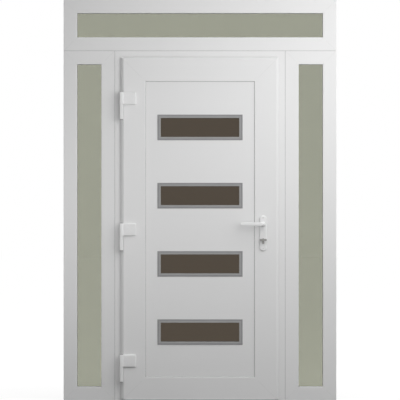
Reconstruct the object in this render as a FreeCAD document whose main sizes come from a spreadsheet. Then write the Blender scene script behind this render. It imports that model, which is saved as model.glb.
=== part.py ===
import FreeCAD, Part
import math
import os
import re
import Sketcher

# Entrance door set of white plastic profile: a door leaf that opens into the room, a fixed sidelight on
# each side of it and one fixed top light across all three. Millimetres. The origin is on the floor at the
# middle of the threshold, +Z is up, +X runs to the lock side and -Y is the room side, where the hinges are.
# Every size name has an underscore, so that a formula can tell it from a function.
SIZES = {
    # The whole set
    "door_width": 1000,
    "door_height": 2050,
    "sidelight_width": 300,
    "transom_height": 300,
    "frame_depth": 70,
    "edge_round": 2,
    # Frames of the fixed lights
    "light_face_width": 60,
    "glazing_rebate": 19,
    "light_stop_width": 15,
    "light_stop_depth": 22,
    "bead_bevel": 3,
    "bead_joint": 0.3,
    # Sealed units of the fixed lights
    "pane_thickness": 4,
    "pane_gap": 16,
    "glazing_fit": 0.3,
    "glass_edge_gap": 4,
    "spacer_width": 11,
    # Door frame
    "door_frame_width": 56,
    "door_stop_width": 24,
    "door_stop_depth": 9,
    "threshold_height": 20,
    "threshold_nose": 6,
    "threshold_bevel": 3,
    "threshold_flat": 50,
    "groove_width": 3,
    "groove_depth": 1.2,
    "groove_pitch": 9,
    "groove_inset": 12,
    # Leaf
    "leaf_overlap": 17,
    "leaf_clearance": 6,
    "stop_gap": 5,
    "flange_gap": 5,
    "flange_thickness": 15,
    "leaf_bevel_width": 13,
    "leaf_bevel_depth": 7,
    "sash_face_width": 121.5,
    "bottom_rail_face": 107.5,
    "leaf_floor_gap": 9,
    "threshold_gap": 6,
    "panel_rebate": 20,
    "panel_recess": 5,
    "panel_thickness": 48,
    "panel_edge_gap": 4,
    "panel_bead_bevel": 3,
    # Seals
    "seal_width": 5,
    "seal_inset": 1.5,
    "seal_clearance": 1.5,
    # Slots in the panel
    "slot_length": 465,
    "slot_height": 116,
    "slot_pitch": 400,
    "slot_drop": 3,
    "trim_band": 17,
    "trim_thickness": 3,
    "trim_step": 1,
    "trim_outer_band": 9.5,
    "trim_lip": 2,
    "slot_glass_thickness": 24,
    "slot_fit": 0.3,
    # Hinges
    "hinge_lowest": 196.5,
    "hinge_pitch": 769,
    "hinge_inset": 1,
    "barrel_width": 20,
    "barrel_round": 4,
    "barrel_stand_off": 2,
    "barrel_bevel": 1.5,
    "flag_height": 72,
    "flag_reach": 85,
    "flag_thickness": 12,
    "flag_bevel": 1.5,
    "knuckle_height": 86,
    "knuckle_gap": 0.5,
    "bracket_thickness": 6,
    "pin_radius": 5,
    "pin_length": 58,
    "pin_fit": 0.3,
    # Handle and lock
    "handle_inset": 91,
    "handle_height": 1033,
    "plate_width": 44,
    "plate_above": 50,
    "plate_below": 157,
    "plate_thickness": 8,
    "plate_bevel": 2.5,
    "plate_end_flat": 4,
    "neck_radius": 9,
    "neck_fit": 0.4,
    "collar_radius": 14,
    "collar_length": 8,
    "lever_stand_off": 58,
    "lever_bend": 18,
    "lever_reach": 135,
    "lever_depth": 13,
    "lever_thickness": 22,
    "lever_bevel": 3.5,
    "lever_tip_bevel": 2.5,
    "spindle_width": 8,
    "spindle_room": 3,
    "cylinder_drop": 92,
    "cylinder_radius": 8.5,
    "cylinder_stem": 10,
    "stem_end_flat": 1,
    "cylinder_length": 24.5,
    "cylinder_stand_out": 3,
    "cylinder_fit": 0.4,
    "turn_neck_radius": 7,
    "turn_neck_length": 8,
    "turn_gap": 0.3,
    "turn_length": 42,
    "turn_height": 12,
    "turn_end_flat": 1,
    "turn_depth": 14,
    "turn_bevel": 1.5,
    "faceplate_width": 20,
    "faceplate_margin": 160,
    "faceplate_thickness": 3,
    "strike_length": 220,
    "keep_length": 130,
    "keep_offset": 680,
    "latch_width": 12,
    "latch_height": 34,
    "latch_depth": 1.5,
}

SLOT_COUNT = 4
HINGE_COUNT = 3
GROOVE_COUNT = 4

# Planes that several pieces share, as formulas of the sizes
FRAME_FRONT = "(-frame_depth/2)"
FRAME_BACK = "(frame_depth/2)"
FRAME_HALF = "(door_width/2)"
SET_HALF = "(door_width/2 + sidelight_width)"
SET_TOP = "(door_height + transom_height)"
LIGHT_WIDTH = "(light_face_width + glazing_rebate)"
LIGHT_STOP = "(frame_depth/2 - light_stop_depth)"
UNIT_BACK = "(frame_depth/2 - light_stop_depth - glazing_fit)"
UNIT_DEPTH = "(2*pane_thickness + pane_gap)"
DOOR_STOP = "(frame_depth/2 - door_stop_depth)"
JAMB_WIDTH = "(door_frame_width + door_stop_width)"
LEAF_HALF = "(door_width/2 - door_frame_width + leaf_overlap)"
LEAF_TOP = "(door_height - door_frame_width + leaf_overlap)"
LEAF_FRONT = "(-frame_depth/2 - flange_gap - flange_thickness)"
LEAF_BACK = "(frame_depth/2 - door_stop_depth - stop_gap)"
FLANGE_BACK = "(-frame_depth/2 - flange_gap)"
LEAF_STEP = "(leaf_overlap + leaf_clearance)"
SASH_WIDTH = "(sash_face_width + panel_rebate)"
SASH_TRIM = "(sash_face_width - bottom_rail_face)"
SASH_FOOT = f"(leaf_floor_gap - {SASH_TRIM})"
SASH_HEIGHT = f"({LEAF_TOP} - {SASH_FOOT})"
FOOT_RISE = f"(threshold_height + threshold_gap - {SASH_FOOT})"
PANEL_FRONT = f"({LEAF_FRONT} + panel_recess)"
PANEL_BACK = f"({LEAF_FRONT} + panel_recess + panel_thickness)"
PANEL_MIDDLE = f"(({LEAF_TOP} + {SASH_FOOT})/2)"
SLOT_MIDDLE = f"({PANEL_MIDDLE} - slot_drop)"
HINGE_X = f"(-{LEAF_HALF} + hinge_inset)"
HINGE_Y = f"({LEAF_FRONT} - barrel_stand_off - barrel_width/2)"
HANDLE_X = f"({LEAF_HALF} - handle_inset)"
LOCK_Y = f"(({FLANGE_BACK} + {LEAF_BACK})/2)"
LOCK_MIDDLE = "(handle_height - cylinder_drop/2)"
# Cuts run on past the piece by this much
OVERRUN = "frame_depth"

# Points and directions that differ by less than this are the same
SAME = 0.001
SIZE_NAME = re.compile(r"[a-z]+(?:_[a-z]+)+")

doc = FreeCAD.newDocument("DoorWithSidelights")
sheet = doc.addObject("Spreadsheet::Sheet", "Sizes")
for row, (name, value) in enumerate(SIZES.items(), start=1):
    sheet.set(f"A{row}", name)
    sheet.set(f"B{row}", str(value))
    sheet.setAlias(f"B{row}", name)
sheet.recompute()

subparts = {}


def bind(thing, prop, formula):
    """Tie a property to the sheet: each size name in the formula becomes its cell."""
    thing.setExpression(prop, SIZE_NAME.sub(lambda match: f"Sizes.{match.group(0)}", formula))


def place(thing, base, axis=(0, 0, 1), angle=0):
    """Turn an object about its own origin, and tie that origin's place to the sheet."""
    turn = FreeCAD.Rotation(FreeCAD.Vector(*axis), angle)
    thing.Placement = FreeCAD.Placement(FreeCAD.Vector(), turn)
    for letter, formula in zip("xyz", base):
        bind(thing, f"Placement.Base.{letter}", formula)


def new_body(label):
    body = doc.addObject("PartDesign::Body", label)
    body.Label = label
    return body


def new_sketch(body, plane, offset):
    """An empty sketch on one of the body's own planes, moved along its normal by the offset."""
    sketch = body.newObject("Sketcher::SketchObject", f"{body.Name}_Sketch")
    support = next(item for item in body.Origin.OriginFeatures if item.Role == plane)
    sketch.AttachmentSupport = (support, [""])
    sketch.MapMode = "FlatFace"
    bind(sketch, "AttachmentOffset.Base.z", offset)
    return sketch


def outline(body, plane, corners, offset="0"):
    """A closed outline with straight sides. It starts as a small regular polygon, and the
    constraints take each corner to the place that its two formulas give."""
    sketch = new_sketch(body, plane, offset)
    count = len(corners)
    ring = []
    for index in range(count):
        angle = 2 * math.pi * index / count
        ring.append(FreeCAD.Vector(math.cos(angle), math.sin(angle), 0))
    for index in range(count):
        sketch.addGeometry(Part.LineSegment(ring[index], ring[(index + 1) % count]))
    for index in range(count):
        sketch.addConstraint(Sketcher.Constraint("Coincident", index, 2, (index + 1) % count, 1))
    for index, corner in enumerate(corners):
        for kind, formula in zip(("DistanceX", "DistanceY"), corner):
            number = sketch.addConstraint(Sketcher.Constraint(kind, index, 1, 1.0))
            bind(sketch, f"Constraints[{number}]", formula)
    return sketch


def rectangle(body, plane, low, high, offset="0"):
    corners = [(low[0], low[1]), (high[0], low[1]), (high[0], high[1]), (low[0], high[1])]
    return outline(body, plane, corners, offset)


def bevelled_rectangle(body, plane, half_width, half_height, bevel, offset="0"):
    """A rectangle about the sketch's origin with its four corners cut off."""
    corners = []
    for right, up in ((1, 1), (-1, 1), (-1, -1), (1, -1)):
        side = (f"{right}*({half_width})", f"{up}*({half_height} - {bevel})")
        level = (f"{right}*({half_width} - {bevel})", f"{up}*({half_height})")
        corners += [side, level] if right == up else [level, side]
    return outline(body, plane, corners, offset)


def disc(body, plane, radius, centre=("0", "0"), offset="0"):
    sketch = new_sketch(body, plane, offset)
    sketch.addGeometry(Part.Circle(FreeCAD.Vector(), FreeCAD.Vector(0, 0, 1), 1))
    number = sketch.addConstraint(Sketcher.Constraint("Radius", 0, 1.0))
    bind(sketch, f"Constraints[{number}]", radius)
    for kind, formula in zip(("DistanceX", "DistanceY"), centre):
        number = sketch.addConstraint(Sketcher.Constraint(kind, 0, 3, 1.0))
        bind(sketch, f"Constraints[{number}]", formula)
    return sketch


def pad(body, sketch, length, backward=False):
    """Material from the sketch along its normal, or against it."""
    feature = body.newObject("PartDesign::Pad", f"{body.Name}_Pad")
    feature.Profile = sketch
    feature.Reversed = backward
    bind(feature, "Length", length)
    doc.recompute()
    return feature


def cut(body, sketch, length=None, forward=False):
    """Take material away, through the whole body on both sides of the sketch unless a length is
    given, and stop if nothing was taken."""
    before = body.Shape.Volume
    feature = body.newObject("PartDesign::Pocket", f"{body.Name}_Cut")
    feature.Profile = sketch
    if length is None:
        feature.Type = "ThroughAll"
        feature.SideType = "Symmetric"
    else:
        feature.Reversed = forward
        bind(feature, "Length", length)
    doc.recompute()
    if body.Shape.Volume >= before:
        raise RuntimeError(f"{body.Label}: a cut took nothing away")
    return feature


def dress_edges(body, kind, prop, size, wanted):
    """Round or bevel every edge of the body's last feature that the test picks."""
    base = body.Tip
    names = [f"Edge{number}" for number, edge in enumerate(base.Shape.Edges, start=1) if wanted(edge)]
    feature = body.newObject(f"PartDesign::{kind}", f"{body.Name}_{kind}")
    feature.Base = (base, names)
    bind(feature, prop, size)
    doc.recompute()
    return feature


def round_edges(body, radius, wanted):
    return dress_edges(body, "Fillet", "Radius", radius, wanted)


def bevel_edges(body, size, wanted):
    return dress_edges(body, "Chamfer", "Size", size, wanted)


def runs_along(axis):
    """A test for straight edges that run along one axis of the body."""
    direction = FreeCAD.Vector(*axis)

    def wanted(edge):
        return isinstance(edge.Curve, Part.Line) and edge.Curve.Direction.cross(direction).Length < SAME

    return wanted


def lies_at(axis, value):
    """A test for edges whose middle is at one place along an axis of the body."""
    direction = FreeCAD.Vector(*axis)
    return lambda edge: abs(edge.CenterOfMass.dot(direction) - value) < SAME


def at_corner(sketch, index):
    """A test for the long edge that a padded sketch's corner makes."""
    corner = sketch.getPoint(index, 1)
    upright = runs_along((0, 0, 1))

    def wanted(edge):
        point = edge.Vertexes[0].Point
        return upright(edge) and math.hypot(point.x - corner.x, point.y - corner.y) < SAME

    return wanted


def keep(thing, label):
    thing.Label = label
    subparts[label] = thing
    return thing


def group(label, things):
    """Like pieces that do not touch, kept as one sub-part."""
    compound = doc.addObject("Part::Compound", label)
    compound.Links = things
    return keep(compound, label)


# Frame members: a section carried along the body's Z, with X inward from the frame's outer edge and Y
# through its depth. A section corner may name the radius that rounds it. Each end is cut by an outline
# in the XZ plane.
def mitre_start(width, gap="0"):
    return [(f"-{OVERRUN}", f"-{OVERRUN} + {gap}"),
            (f"{width} + {OVERRUN}", f"-{OVERRUN} + {gap}"),
            (f"{width} + {OVERRUN}", f"{width} + {OVERRUN} + {gap}")]


def mitre_end(width, length, gap="0"):
    return [(across, f"{length} - ({along})") for across, along in mitre_start(width, gap)]


def level_start(width, height):
    return [(f"-{OVERRUN}", f"-{OVERRUN}"), (f"{width} + {OVERRUN}", f"-{OVERRUN}"),
            (f"{width} + {OVERRUN}", height), (f"-{OVERRUN}", height)]


def level_end(width, length, height):
    return [(across, f"{length} - ({along})") for across, along in level_start(width, height)]


def trimmed_start(width, trim):
    """A mitre whose outer tip is cut off square."""
    return mitre_start(width) + [(trim, trim), (f"-{OVERRUN}", trim)]


def trimmed_end(width, length, trim):
    return [(across, f"{length} - ({along})") for across, along in trimmed_start(width, trim)]


# Where each side of a frame starts and how it is turned about Y
def frame_sides(left, right, bottom, top):
    width = f"(({right}) - ({left}))"
    height = f"(({top}) - ({bottom}))"
    return {
        "left": ((left, "0", bottom), 0, height),
        "top": ((left, "0", top), 90, width),
        "right": ((right, "0", top), 180, height),
        "bottom": ((right, "0", bottom), -90, width),
    }


def member(label, section, side, start, end):
    """One length of profile, rounded along its section's marked corners and cut at its ends."""
    base, turn, length = side
    body = new_body(label)
    sketch = outline(body, "XY_Plane", section)
    pad(body, sketch, length)
    for index, (across, depth, *radius) in enumerate(section):
        if radius:
            round_edges(body, radius[0], at_corner(sketch, index))
    for corners in (start, end):
        if corners:
            cut(body, outline(body, "XZ_Plane", corners))
    place(body, base, (0, 1, 0), turn)
    return body


def bead_strips(label, sides, seat, tip, front, back, bevel):
    """Four mitred beads round an opening, with a bevel on the edge that shows."""
    section = [(seat, front), (f"{tip} - {bevel}", front), (tip, f"{front} + {bevel}/2"), (tip, back),
               (seat, back)]
    strips = []
    for name, side in sides.items():
        start = mitre_start(tip, "bead_joint/2")
        end = mitre_end(tip, side[2], "bead_joint/2")
        strips.append(member(f"{label}_{name}", section, side, start, end))
    return group(label, strips)


def slab(label, low, high):
    """A plain rectangular piece between two corners."""
    box = doc.addObject("Part::Box", label)
    for prop, index in (("Length", 0), ("Width", 1), ("Height", 2)):
        bind(box, prop, f"({high[index]}) - ({low[index]})")
    place(box, low)
    return box


# Fixed lights: a mitred frame with an outer stop, a sealed unit of two panes, and beads on the room side
STOP_TIP = "(light_face_width + light_stop_width)"
LIGHT_SECTION = [("0", FRAME_FRONT, "edge_round"), ("light_face_width", FRAME_FRONT),
                 ("light_face_width", LIGHT_STOP), (STOP_TIP, LIGHT_STOP),
                 (STOP_TIP, FRAME_BACK, "edge_round"), ("0", FRAME_BACK, "edge_round")]
MEMBER_NAMES = {"left": "left_stile", "top": "top_rail", "right": "right_stile", "bottom": "bottom_rail"}


def pane_pair(label, left, right, bottom, top):
    panes = []
    inset = "(light_face_width + glass_edge_gap)"
    for name, back in (("outer", UNIT_BACK), ("inner", f"({UNIT_BACK} - pane_thickness - pane_gap)")):
        low = (f"{left} + {inset}", f"{back} - pane_thickness", f"{bottom} + {inset}")
        high = (f"{right} - {inset}", back, f"{top} - {inset}")
        panes.append(slab(f"{label}_{name}", low, high))
    return group(label, panes)


def spacer(label, left, right, bottom, top):
    """The hollow bar round the edge of a sealed unit, between its panes."""
    body = new_body(label)
    back = f"({UNIT_BACK} - pane_thickness)"
    edge = "(light_face_width + glass_edge_gap)"
    inner = "(light_face_width + glass_edge_gap + spacer_width)"
    width = f"({right} - ({left}))"
    height = f"({top} - ({bottom}))"
    outside = rectangle(body, "XZ_Plane", (edge, edge), (f"{width} - {edge}", f"{height} - {edge}"))
    pad(body, outside, "pane_gap")
    inside = rectangle(body, "XZ_Plane", (inner, inner), (f"{width} - {inner}", f"{height} - {inner}"))
    cut(body, inside)
    place(body, (left, back, bottom))
    return body


def fixed_light(name, left, right, bottom, top):
    sides = frame_sides(left, right, bottom, top)
    for side_name, side in sides.items():
        label = f"{name}_{MEMBER_NAMES[side_name]}"
        start = mitre_start(LIGHT_WIDTH)
        end = mitre_end(LIGHT_WIDTH, side[2])
        keep(member(label, LIGHT_SECTION, side, start, end), label)
    bead_back = f"({UNIT_BACK} - {UNIT_DEPTH} - glazing_fit)"
    bead_strips(f"{name}_beads", sides, "light_face_width", LIGHT_WIDTH, FRAME_FRONT, bead_back, "bead_bevel")
    pane_pair(f"{name}_glass", left, right, bottom, top)
    return spacer(f"{name}_spacer", left, right, bottom, top)


group("glazing_spacers", [
    fixed_light("left_sidelight", f"(-{SET_HALF})", f"(-{FRAME_HALF})", "0", "door_height"),
    fixed_light("right_sidelight", FRAME_HALF, SET_HALF, "0", "door_height"),
    fixed_light("transom", f"(-{SET_HALF})", SET_HALF, "door_height", SET_TOP),
])


# Door frame: two jambs that stand on the floor and a mitred head, with a stop along the outside
JAMB_SECTION = [("0", FRAME_FRONT, "edge_round"), ("door_frame_width", FRAME_FRONT, "edge_round"),
                ("door_frame_width", DOOR_STOP), (JAMB_WIDTH, DOOR_STOP),
                (JAMB_WIDTH, FRAME_BACK, "edge_round"), ("0", FRAME_BACK, "edge_round")]
frame_runs = frame_sides(f"(-{FRAME_HALF})", FRAME_HALF, "0", "door_height")
jamb_mitres = {
    "left": (None, mitre_end(JAMB_WIDTH, "door_height")),
    "top": (mitre_start(JAMB_WIDTH), mitre_end(JAMB_WIDTH, "door_width")),
    "right": (mitre_start(JAMB_WIDTH), None),
}
frame_members = {}
for side_name, label in (("left", "door_frame_left_jamb"), ("top", "door_frame_head"),
                         ("right", "door_frame_right_jamb")):
    start, end = jamb_mitres[side_name]
    frame_members[side_name] = member(label, JAMB_SECTION, frame_runs[side_name], start, end)
    keep(frame_members[side_name], label)

# The lock shoots a latch and a bolt at the handle and a hook near each end of the leaf. Each enters a strike
# plate that lies flush in the lock jamb, whose body runs down from the head.
STRIKE_FLOOR = "(door_frame_width - faceplate_thickness)"
LATCHES = ("cylinder_drop/2", "-cylinder_drop/2")
STRIKES = {"main": ("0", "strike_length", LATCHES), "upper": ("keep_offset", "keep_length", ("0",)),
           "lower": ("-keep_offset", "keep_length", ("0",))}
lock_jamb = frame_members["right"]


def lock_plate(label, below, above, openings, base, turn):
    """A steel strip with openings for the latch, bolt or hooks, set in the edge of the leaf or the frame."""
    body = new_body(label)
    half = "faceplate_width/2"
    pad(body, rectangle(body, "YZ_Plane", (f"-{half}", f"-{below}"), (half, above)), "faceplate_thickness")
    for height in openings:
        low = ("-latch_width/2", f"{height} - latch_height/2")
        high = ("latch_width/2", f"{height} + latch_height/2")
        cut(body, rectangle(body, "YZ_Plane", low, high, "faceplate_thickness"), "latch_depth")
    place(body, base, (0, 0, 1), turn)
    return body


strikes = []
for name, (offset, length, openings) in STRIKES.items():
    height = f"({LOCK_MIDDLE} + {offset})"
    low = (f"{LOCK_Y} - faceplate_width/2", f"door_height - {height} - {length}/2")
    high = (f"{LOCK_Y} + faceplate_width/2", f"door_height - {height} + {length}/2")
    cut(lock_jamb, rectangle(lock_jamb, "YZ_Plane", low, high, STRIKE_FLOOR), "door_stop_width", True)
    strikes.append(lock_plate(f"strike_{name}", f"{length}/2", f"{length}/2", openings,
                              (f"{FRAME_HALF} - {STRIKE_FLOOR}", LOCK_Y, height), 180))
group("strike_plate", strikes)

# The threshold lies between the jambs, grooved for grip, and is coped round their stops
threshold = new_body("threshold")
opening_half = f"({FRAME_HALF} - door_frame_width)"
threshold_section = [
    (FRAME_FRONT, "0"), (FRAME_BACK, "0"), (FRAME_BACK, "threshold_nose"),
    (f"{FRAME_FRONT} + threshold_flat", "threshold_height"),
    (f"{FRAME_FRONT} + threshold_bevel", "threshold_height"),
    (FRAME_FRONT, "threshold_height - threshold_bevel"),
]
pad(threshold, outline(threshold, "YZ_Plane", threshold_section), f"2*{opening_half}")
for index in range(GROOVE_COUNT):
    start = f"({FRAME_FRONT} + groove_inset + groove_pitch*{index})"
    cut(threshold, rectangle(threshold, "YZ_Plane", (start, "threshold_height - groove_depth"),
                             (f"{start} + groove_width", f"threshold_height + {OVERRUN}")))
for low, high in ((f"-{OVERRUN}", "door_stop_width"),
                  (f"2*{opening_half} - door_stop_width", f"2*{opening_half} + {OVERRUN}")):
    cut(threshold, rectangle(threshold, "XY_Plane", (low, DOOR_STOP), (high, f"{FRAME_BACK} + {OVERRUN}")))
place(threshold, (f"-{opening_half}", "0", "0"))
keep(threshold, "threshold")

# A rubber seal along the stop of each jamb and of the head
seal_start = "(door_frame_width + leaf_clearance + seal_inset)"
seal_end = f"({seal_start} + seal_width)"
seal_front = f"({DOOR_STOP} - stop_gap + seal_clearance)"
frame_seal_section = [(seal_start, seal_front), (seal_end, seal_front), (seal_end, DOOR_STOP),
                      (seal_start, DOOR_STOP)]
seal_feet = "(threshold_height + seal_clearance)"
frame_seal_cuts = {
    "left": (level_start(JAMB_WIDTH, seal_feet), mitre_end(JAMB_WIDTH, "door_height", "bead_joint/2")),
    "top": (mitre_start(JAMB_WIDTH, "bead_joint/2"), mitre_end(JAMB_WIDTH, "door_width", "bead_joint/2")),
    "right": (mitre_start(JAMB_WIDTH, "bead_joint/2"), level_end(JAMB_WIDTH, "door_height", seal_feet)),
}
group("frame_seal", [member(f"frame_seal_{name}", frame_seal_section, frame_runs[name], start, end)
                     for name, (start, end) in frame_seal_cuts.items()])


# Leaf: a mitred sash with a flange that laps the frame on the room side. Its bottom edge is cut short
# above the floor, with no bevel there, and its body is cut back over the threshold.
def sash_section(flange_corners, flange_edge, body_edge):
    stop = f"({PANEL_BACK} + glazing_fit)"
    return flange_corners + [
        ("sash_face_width", LEAF_FRONT), ("sash_face_width", stop), (SASH_WIDTH, stop),
        (SASH_WIDTH, LEAF_BACK, "edge_round"), (body_edge, LEAF_BACK, "edge_round"), (body_edge, FLANGE_BACK),
        (flange_edge, FLANGE_BACK)]


bevelled_edge = [("0", f"{LEAF_FRONT} + leaf_bevel_depth"), ("leaf_bevel_width", LEAF_FRONT)]
square_foot = [(SASH_TRIM, LEAF_FRONT)]
leaf_runs = frame_sides(f"(-{LEAF_HALF})", LEAF_HALF, SASH_FOOT, LEAF_TOP)
leaf_width = leaf_runs["top"][2]
sash_cuts = {
    "left": (trimmed_start(SASH_WIDTH, SASH_TRIM), mitre_end(SASH_WIDTH, SASH_HEIGHT)),
    "top": (mitre_start(SASH_WIDTH), mitre_end(SASH_WIDTH, leaf_width)),
    "right": (mitre_start(SASH_WIDTH), trimmed_end(SASH_WIDTH, SASH_HEIGHT, SASH_TRIM)),
    "bottom": (mitre_start(SASH_WIDTH), mitre_end(SASH_WIDTH, leaf_width)),
}
sash_labels = {"left": "sash_hinge_stile", "top": "sash_top_rail", "right": "sash_lock_stile",
               "bottom": "sash_bottom_rail"}
sash_members = {}
for side_name, label in sash_labels.items():
    if side_name == "bottom":
        section = sash_section(square_foot, SASH_TRIM, FOOT_RISE)
    else:
        section = sash_section(bevelled_edge, "0", LEAF_STEP)
    start, end = sash_cuts[side_name]
    sash_members[side_name] = member(label, section, leaf_runs[side_name], start, end)
    keep(sash_members[side_name], label)

foot_depth = (FLANGE_BACK, f"{LEAF_BACK} + {OVERRUN}")
for side_name, low, high in (("left", f"-{OVERRUN}", FOOT_RISE),
                             ("right", f"{SASH_HEIGHT} - {FOOT_RISE}", f"{SASH_HEIGHT} + {OVERRUN}")):
    stile = sash_members[side_name]
    foot = rectangle(stile, "YZ_Plane", (foot_depth[0], low), (foot_depth[1], high))
    cut(stile, foot)

# Bores for the spindle and the cylinder, and the groove for the lock's faceplate, in the lock stile.
# Its body runs down from the top of the leaf and inward from the lock edge.
lock_stile = sash_members["right"]
spindle_along = f"({LEAF_TOP} - handle_height)"
cylinder_along = f"({spindle_along} + cylinder_drop)"
cylinder_bore = "(cylinder_radius + cylinder_fit)"
stem_bore = "(cylinder_stem/2 + cylinder_fit)"
stem_along = f"({cylinder_along} + cylinder_length + cylinder_fit)"
spindle_bore = "spindle_width/2 + spindle_room"
cut(lock_stile, disc(lock_stile, "XZ_Plane", spindle_bore, ("handle_inset", spindle_along)))
cut(lock_stile, disc(lock_stile, "XZ_Plane", cylinder_bore, ("handle_inset", cylinder_along)))
cut(lock_stile, rectangle(lock_stile, "XZ_Plane", (f"handle_inset - {stem_bore}", cylinder_along),
                          (f"handle_inset + {stem_bore}", stem_along)))
groove_low = (f"{LOCK_Y} - faceplate_width/2", "faceplate_margin")
groove_high = (f"{LOCK_Y} + faceplate_width/2", f"{SASH_HEIGHT} - faceplate_margin")
cut(lock_stile, rectangle(lock_stile, "YZ_Plane", groove_low, groove_high),
    f"{LEAF_STEP} + faceplate_thickness", True)
faceplate_openings = LATCHES + ("keep_offset", "-keep_offset")
faceplate = lock_plate("lock_faceplate", f"({LOCK_MIDDLE} - {SASH_FOOT} - faceplate_margin)",
                       f"{LEAF_TOP} - {LOCK_MIDDLE} - faceplate_margin", faceplate_openings,
                       (f"{LEAF_HALF} - {LEAF_STEP} - faceplate_thickness", LOCK_Y, LOCK_MIDDLE), 0)
keep(faceplate, "lock_faceplate")

# A rubber seal on the back of the flange
leaf_seal_back = f"({FLANGE_BACK} + flange_gap - seal_clearance)"


def leaf_seal_section(edge):
    start = f"({edge} + seal_inset)"
    end = f"({start} + seal_width)"
    return [(start, FLANGE_BACK), (end, FLANGE_BACK), (end, leaf_seal_back), (start, leaf_seal_back)]


leaf_seals = []
for side_name, (start, end) in sash_cuts.items():
    edge = SASH_TRIM if side_name == "bottom" else "0"
    strip = member(f"leaf_seal_{side_name}", leaf_seal_section(edge), leaf_runs[side_name], start, end)
    leaf_seals.append(strip)
group("leaf_seal", leaf_seals)

bead_strips("panel_beads", leaf_runs, "sash_face_width", SASH_WIDTH, LEAF_FRONT,
            f"({PANEL_FRONT} - glazing_fit)", "panel_bead_bevel")

# The panel, with a row of slots from top to bottom. Its body starts at the middle of its front face.
panel = new_body("door_panel")
panel_inset = "(sash_face_width + panel_edge_gap)"
panel_half = f"({LEAF_HALF} - {panel_inset})"
panel_rise = f"({SASH_HEIGHT}/2 - {panel_inset})"
pad(panel, rectangle(panel, "XZ_Plane", (f"-{panel_half}", f"-{panel_rise}"), (panel_half, panel_rise)),
    "panel_thickness", True)
slot_heights = []
for index in range(SLOT_COUNT):
    slot_heights.append(f"(slot_pitch*{index - (SLOT_COUNT - 1) / 2})")
for height in slot_heights:
    cut(panel, rectangle(panel, "XZ_Plane", ("-slot_length/2", f"{height} - slot_drop - slot_height/2"),
                         ("slot_length/2", f"{height} - slot_drop + slot_height/2")))
place(panel, ("0", PANEL_FRONT, PANEL_MIDDLE))
keep(panel, "door_panel")


def slot_trim(label, height, front, turn):
    """A steel frame on the panel's face, with a raised inner band and a lip that stops against the glass."""
    body = new_body(label)
    across = "(slot_length/2 - slot_fit)"
    rise = "(slot_height/2 - slot_fit)"
    lip = "((panel_thickness - slot_glass_thickness)/2)"
    for band, thickness in (("trim_band", "trim_thickness - trim_step"),
                            ("(trim_band - trim_outer_band)", "trim_thickness")):
        pad(body, rectangle(body, "XZ_Plane", (f"-slot_length/2 - {band}", f"-slot_height/2 - {band}"),
                            (f"slot_length/2 + {band}", f"slot_height/2 + {band}")), thickness)
    pad(body, rectangle(body, "XZ_Plane", (f"-{across}", f"-{rise}"), (across, rise)), lip, True)
    cut(body, rectangle(body, "XZ_Plane", (f"-{across} + trim_lip", f"-{rise} + trim_lip"),
                        (f"{across} - trim_lip", f"{rise} - trim_lip")))
    place(body, ("0", front, f"{SLOT_MIDDLE} + {height}"), (0, 0, 1), turn)
    return body


for label, front, turn in (("slot_trims_inside", PANEL_FRONT, 0), ("slot_trims_outside", PANEL_BACK, 180)):
    group(label, [slot_trim(f"{label}_{number}", height, front, turn)
                  for number, height in enumerate(slot_heights)])

slot_panes = []
for number, height in enumerate(slot_heights):
    back = f"(({PANEL_FRONT} + {PANEL_BACK})/2 + slot_glass_thickness/2)"
    low = ("-slot_length/2 + slot_fit", f"{back} - slot_glass_thickness",
           f"{SLOT_MIDDLE} + {height} - slot_height/2 + slot_fit")
    high = ("slot_length/2 - slot_fit", back, f"{SLOT_MIDDLE} + {height} + slot_height/2 - slot_fit")
    slot_panes.append(slab(f"slot_glass_{number}", low, high))
group("slot_glass", slot_panes)


# Hinges: a flag screwed to the leaf, whose barrel turns on a pin that stands on a knuckle on the frame.
# Each body starts on the hinge axis, at the joint between the two barrels. A barrel is round towards the
# leaf, for it to turn past, and flat towards the room.
BARREL_HALF = "(barrel_width/2)"


def barrel(body, start, height, downward):
    """A length of barrel from the joint up or down, bevelled at its far end."""
    pad(body, disc(body, "XY_Plane", BARREL_HALF, offset=start), height, downward)
    front = rectangle(body, "XY_Plane", (f"-{BARREL_HALF}", f"-{BARREL_HALF}"), (BARREL_HALF, "0"), start)
    pad(body, front, height, downward)
    upright = runs_along((0, 0, 1))
    at_front = lies_at((0, 1, 0), body.Shape.BoundBox.YMin)
    round_edges(body, "barrel_round", lambda edge: upright(edge) and at_front(edge))
    box = body.Shape.BoundBox
    bevel_edges(body, "barrel_bevel", lies_at((0, 0, 1), box.ZMin if downward else box.ZMax))


def hinge_flag(label, height):
    body = new_body(label)
    face = f"(barrel_stand_off + {BARREL_HALF})"
    front = f"({face} - flag_thickness)"
    barrel(body, "knuckle_gap/2", "flag_height", False)
    section = [("0", front), ("flag_reach - flag_bevel", front), ("flag_reach", f"{front} + flag_bevel"),
               ("flag_reach", face), ("0", face)]
    pad(body, outline(body, "XY_Plane", section, "knuckle_gap/2"), "flag_height - barrel_bevel")
    cut(body, disc(body, "XY_Plane", "pin_radius + pin_fit"), "pin_length + pin_fit", True)
    place(body, (HINGE_X, HINGE_Y, height))
    return body


def hinge_knuckle(label, height):
    body = new_body(label)
    face = f"({FRAME_FRONT} - {HINGE_Y})"
    barrel(body, "-knuckle_gap/2", "knuckle_height", True)
    bracket = rectangle(body, "XY_Plane", (f"-{BARREL_HALF}", "0"),
                        (f"-{BARREL_HALF} + bracket_thickness", face), "-knuckle_gap/2")
    pad(body, bracket, "knuckle_height - barrel_bevel", True)
    pad(body, disc(body, "XY_Plane", "pin_radius", offset="-knuckle_gap/2"), "pin_length")
    place(body, (HINGE_X, HINGE_Y, height))
    return body


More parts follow.
